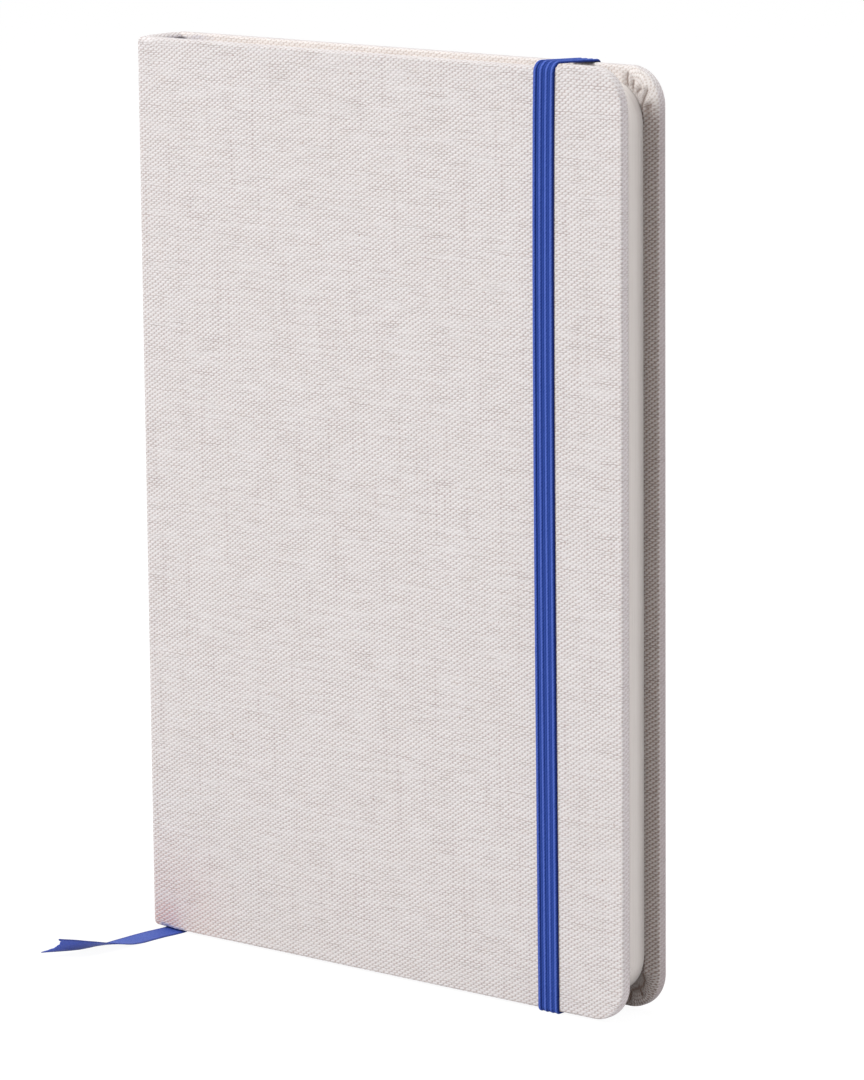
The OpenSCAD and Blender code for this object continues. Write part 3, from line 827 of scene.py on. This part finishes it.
    # The edge's mauve tone, turning to a painted highlight near the head; painted shade on the back cover's
    # edge, on the inner side and in the folds; on the gathers a painted highlight, with painted shade in
    # their gaps
    up = n.spread(z, HEAD - 6.0, HEAD - 1.0)
    rim = n.math("MULTIPLY", rim, n.math("MULTIPLY_ADD", up, -0.3, 0.45))
    # Near the head the edge's mauve gives way to a painted highlight
    colour = n.mix(rim, colour, n.mix(up, (0.60, 0.53, 0.56), (0.95, 0.92, 0.91)))
    # Painted shade on the back cover's edge, below the head
    back_edge_shade = n.spread(n.split(object_place(n))[1], 5.2, 6.0)
    back_edge_shade = n.math("MULTIPLY", n.math("MULTIPLY", rim, back_edge_shade), n.spread(z, HEAD - 4.5, HEAD - 12.5))
    colour = n.mix(back_edge_shade, colour, (0.22, 0.16, 0.16))
    # Painted shade on the inner side below the head, darkest in the weave's gaps
    gap_shade = n.math("MULTIPLY", deep, n.spread(height, 0.85, 0.1, 0.4, 0.85))
    # A painted highlight on the gathers at the head
    colour = n.mix(n.math("MULTIPLY", gathered, 0.45), colour, (0.97, 0.91, 0.86))
    # Painted shade in the weave's gaps on the gathers
    gather_gap_shade = n.math("MULTIPLY", gathered, n.spread(height, 0.6, 0.25, 0.0, 0.45))
    colour = n.mix(gather_gap_shade, colour, (0.42, 0.29, 0.21))
    colour = n.mix(gap_shade, colour, (0.22, 0.16, 0.13))
    colour = n.mix(n.math("MULTIPLY", fold, 0.75), colour, (0.15, 0.09, 0.06))
    colour = stained(n, colour, x, z, height)
    return n.finish(colour, 0.88, height, 0.22 * MM, 0.8, Sheen_Weight=0.1, Sheen_Roughness=0.5,
                    Specular_IOR_Level=0.25)


def stained(n, colour, x, z, height):
    """A faint red bloom by the ribbon, and its blue on the edge just above it."""
    from_x = n.math("SUBTRACT", x, STAIN_X)
    from_z = n.math("SUBTRACT", z, STAIN_Z)
    squares = n.math("ADD", n.math("MULTIPLY", from_x, from_x), n.math("MULTIPLY", from_z, from_z))
    away = n.math("SQRT", squares)
    gaps = n.spread(height, 0.9, 0.2, 0.25, 1.0)
    bloom = n.math("ADD", n.spread(away, 7.0, 1.0, 0.0, 0.4), n.spread(away, 30.0, 3.0, 0.0, 0.26))
    colour = n.mix(n.math("MULTIPLY", bloom, gaps), colour, (0.66, 0.32, 0.29))
    low = n.math("MULTIPLY", n.spread(z, 1.7, 0.9), n.spread(x, -68.2, -66.6))
    low = n.math("MULTIPLY", low, n.spread(x, -59.0, -60.5))
    return n.mix(n.math("MULTIPLY", low, 0.6), colour, (0.34, 0.42, 0.64))


def object_place(n):
    """The place on a piece in millimetres."""
    place = n.new("ShaderNodeTexCoord").outputs["Object"]
    return n.vector("MULTIPLY", place, (1 / MM, 1 / MM, 1 / MM))


def leaves_material():
    n = Nodes("leaves")
    place = object_place(n)
    bands = n.noise(n.vector("MULTIPLY", place, (0.004, 1.0, 0.004)), 2.3, 4, 0.7)
    fine = n.noise(n.vector("MULTIPLY", place, (0.05, 9.0, 0.05)), 1.0, 2, 0.7)
    grain = n.noise(place, 6.0, 3, 0.6)
    tone = n.math("ADD", n.math("MULTIPLY", bands, 0.6), n.math("MULTIPLY", fine, 0.4))
    colour = n.ramp(tone, [(0.25, (0.77, 0.72, 0.69)), (0.5, (0.83, 0.785, 0.76)),
                           (0.75, (0.87, 0.83, 0.81))])
    return n.finish(colour, 0.8, n.math("ADD", fine, n.math("MULTIPLY", grain, 0.2)), 0.015 * MM, 0.3,
                    Specular_IOR_Level=0.3)


def paper_material():
    n = Nodes("endpaper")
    place = object_place(n)
    grain = n.noise(place, 3.0, 4, 0.65)
    cloud = n.noise(place, 0.06, 2)
    colour = n.mix(n.spread(cloud, 0.3, 0.7), (0.76, 0.72, 0.68), (0.80, 0.765, 0.73))
    colour = n.mix(n.math("MULTIPLY", grain, 0.15), colour, (0.66, 0.61, 0.56))
    return n.finish(colour, 0.75, grain, 0.03 * MM, 0.4, Specular_IOR_Level=0.3)


def board_material():
    n = Nodes("board")
    place = object_place(n)
    grain = n.noise(place, 2.5, 5, 0.7)
    colour = n.ramp(grain, [(0.3, (0.30, 0.25, 0.19)), (0.7, (0.50, 0.44, 0.36))])
    return n.finish(colour, 0.9, grain, 0.05 * MM, 0.6)


def lining_material():
    n = Nodes("lining")
    place = object_place(n)
    _, y, z = n.split(place)
    net = n.math("MULTIPLY", n.math("SINE", n.math("MULTIPLY", y, 7.0)),
                 n.math("SINE", n.math("MULTIPLY", z, 7.0)))
    grain = n.noise(place, 2.0, 3, 0.6)
    colour = n.ramp(n.math("MULTIPLY_ADD", net, 0.2, grain),
                    [(0.3, (0.55, 0.50, 0.43)), (0.8, (0.78, 0.74, 0.67))])
    return n.finish(colour, 0.85, n.math("MULTIPLY_ADD", net, 0.3, grain), 0.05 * MM, 0.5)


# Distances in mm between the elastic's stitches, and between the ribbon's coarse and fine ribs
STITCH, RIB, FINE_RIB = 0.7, 0.72, 0.3


def elastic_material():
    """Ribs of blue yarn with short upright stitches, darker in the grooves: partly the yarn's own tone,
    partly painted shade.
    """
    n = Nodes("elastic")
    place = n.attribute("cloth")
    across, along, rib = n.split(place)
    wobble = n.math("MULTIPLY", n.math("SUBTRACT", n.noise(place, 0.8, 2), 0.5), 1.0)
    step = n.math("ADD", n.math("ADD", along, wobble), n.math("MULTIPLY", across, 0.9))
    stitch = n.math("SINE", n.math("MULTIPLY", step, 2 * math.pi / STITCH))
    fibre = n.noise(n.vector("MULTIPLY", place, (7.0, 1.1, 1.0)), 1.4, 3, 0.65)
    height = n.math("MULTIPLY_ADD", stitch, 0.1, fibre)
    # Darker where the ribs sink into the grooves: partly the yarn's own tone, partly painted shade
    shade = n.math("MULTIPLY_ADD", n.math("SUBTRACT", height, 0.5), 0.7, rib)
    colour = n.ramp(shade, [(0.0, (0.002, 0.010, 0.11)), (0.35, (0.010, 0.034, 0.22)),
                            (0.7, (0.025, 0.064, 0.32)), (1.0, (0.080, 0.140, 0.53))])
    return n.finish(colour, 0.8, height, 0.1 * MM, 0.7, Specular_IOR_Level=0.2)


def ribbon_material(name, place_of):
    """Fine ribs aslant across the ribbon, between two darker woven edges."""
    n = Nodes(name)
    place = place_of(n)
    x, y, _ = n.split(place)
    wobble = n.math("MULTIPLY", n.math("SUBTRACT", n.noise(place, 0.7, 2), 0.5), 0.5)
    slant = n.math("ADD", n.math("MULTIPLY_ADD", x, 0.75, y), wobble)
    rib = n.math("SINE", n.math("MULTIPLY", slant, 2 * math.pi / RIB))
    fine = n.math("SINE", n.math("MULTIPLY", x, 2 * math.pi / FINE_RIB))
    fibre = n.noise(n.vector("MULTIPLY", place, (3.0, 1.0, 1.0)), 1.8, 3, 0.6)
    height = n.math("ADD", n.math("MULTIPLY_ADD", rib, 0.36, fibre), n.math("MULTIPLY", fine, 0.08))
    colour = n.ramp(height, [(0.15, (0.012, 0.040, 0.29)), (0.5, (0.040, 0.092, 0.44)),
                             (0.85, (0.13, 0.20, 0.66))])
    colour = n.mix(n.spread(y, 27.0, 35.0, 0.0, 0.45), colour, (0.012, 0.045, 0.42))
    edge = n.math("ABSOLUTE", n.math("SUBTRACT", x, RIBBON_W / 2))
    border = n.spread(edge, RIBBON_W / 2 - 0.75, RIBBON_W / 2 - 0.35, 0.0, 0.75)
    colour = n.mix(border, colour, (0.012, 0.035, 0.27))
    speck = n.spread(n.noise(n.vector("ADD", place, (5, 2, 1)), 1.7, 2), 0.70, 0.74)
    speck = n.math("MULTIPLY", n.math("MULTIPLY", speck, n.spread(y, 34, 40)), 0.3)
    colour = n.mix(speck, colour, (0.5, 0.5, 0.6))
    return n.finish(colour, 0.6, height, 0.06 * MM, 0.6, Specular_IOR_Level=0.3)


# Stage

WORLD_LIGHT = 0.33
# Share of the floor's own glow in what the camera sees of it, which keeps the shadow faint
FLOOR_GLOW = 0.88
GLOW_STRENGTH = 1.08


def seen_rays(tree):
    """1 on the rays of the camera, a mirror or glass, and 0 on those that only carry light."""
    rays = tree.nodes.new("ShaderNodeLightPath")
    seen = rays.outputs["Is Camera Ray"]
    for kind in ("Is Glossy Ray", "Is Transmission Ray"):
        either = tree.nodes.new("ShaderNodeMath")
        either.operation = "MAXIMUM"
        tree.links.new(seen, either.inputs[0])
        tree.links.new(rays.outputs[kind], either.inputs[1])
        seen = either.outputs[0]
    return seen


def make_stage():
    world = bpy.data.worlds.new("world")
    bpy.context.scene.world = world
    world.use_nodes = True
    tree = world.node_tree
    background = tree.nodes["Background"]
    level = tree.nodes.new("ShaderNodeMapRange")
    level.inputs["To Min"].default_value = WORLD_LIGHT
    level.inputs["To Max"].default_value = 1.0
    tree.links.new(seen_rays(tree), level.inputs["Value"])
    background.inputs["Color"].default_value = (1, 1, 1, 1)
    tree.links.new(level.outputs[0], background.inputs["Strength"])

    half = 3000
    floor = add_mesh("floor", [(-half, -half, 0), (half, -half, 0), (half, half, 0), (-half, half, 0)],
                     [(0, 1, 2, 3)])
    n = Nodes("floor")
    n.finish((0.85, 0.85, 0.85), 0.9, Specular_IOR_Level=0.0)
    glow = n.new("ShaderNodeEmission")
    n.put(glow.inputs["Color"], (1.0, 1.0, 1.0))
    glow.inputs["Strength"].default_value = GLOW_STRENGTH
    blend = n.new("ShaderNodeMixShader")
    n.put(blend.inputs[0], n.math("MULTIPLY", seen_rays(n.tree), FLOOR_GLOW))
    n.put(blend.inputs[1], n.shader.outputs[0])
    n.put(blend.inputs[2], glow.outputs[0])
    n.put(n.tree.nodes["Material Output"].inputs["Surface"], blend.outputs[0])
    floor.data.materials.append(n.material)

    def lamp(name, place, target, size, power):
        data = bpy.data.lights.new(name, "AREA")
        data.shape = "DISK"
        data.size = size
        data.energy = power
        light = bpy.data.objects.new(name, data)
        bpy.context.scene.collection.objects.link(light)
        way = Vector(target) - Vector(place)
        light.matrix_world = Matrix.Translation(place) @ way.to_track_quat("-Z", "Y").to_matrix().to_4x4()

    lamp("key", (-0.75, -1.5, 1.55), (0, 0, 0.1), 1.2, 35)
    lamp("top", (0.1, 0.2, 1.9), (0, 0, 0.1), 1.4, 12)
    lamp("side", (1.6, 0.7, 0.7), (0, 0, 0.1), 1.0, 8)


# The notebook put together

def dress():
    tail, path, length = ribbon_tail("ribbon_end")
    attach(tail, "book_block")
    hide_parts("ribbon_tail")

    canvas = canvas_material()
    for side, name, body, node in ((-1, "front_canvas", "front_cover", "front_cloth"),
                                   (1, "back_canvas", "back_cover", "back_cloth")):
        piece = cover_canvas(name, side)
        piece.data.materials.append(canvas)
        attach(piece, body)
        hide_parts(node)
        half = hinge_canvas(name.replace("canvas", "spine_canvas"), side)
        half.data.materials.append(canvas)
        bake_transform(half)
        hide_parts("spine_cloth")

    paper = paper_material()
    for side, name, body in ((-1, "front", "front_cover"), (1, "back", "back_cover")):
        sheet = endpaper(name + "_paper", side)
        sheet.data.materials.append(paper)
        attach(sheet, body)
        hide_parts(name + "_endpaper")

    for side, name, body, near, far in ((-1, "front_fold", "front_cover", BLOCK_FRONT, -5.0),
                                        (1, "back_fold", "back_cover", BLOCK_BACK, 5.0)):
        fold = hinge_fold(name, side)
        fold.data.materials.append(paper)
        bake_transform(fold)

    block = leaves("leaves")
    block.data.materials.append(leaves_material())
    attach(block, "book_block")
    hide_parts("page_block")

    band = elastic("elastic")
    band.data.materials.append(elastic_material())
    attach(band, "back_cover")
    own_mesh(band)
    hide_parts("elastic_band")

    tail.data.materials.append(ribbon_material("ribbon_free", lambda n: n.attribute("cloth")))
    held = ribbon_material("ribbon_held", object_place)
    board, lining = board_material(), lining_material()
    for node, material in (("bookmark_ribbon", held), ("front_board", board), ("back_board", board),
                           ("spine_strip", board), ("spine_lining", lining)):
        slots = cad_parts[node].data.materials
        if len(slots):
            for k in range(len(slots)):
                slots[k] = material
        else:
            slots.append(material)


make_camera()
dress()
make_stage()
bpy.context.scene.view_settings.view_transform = "Standard"
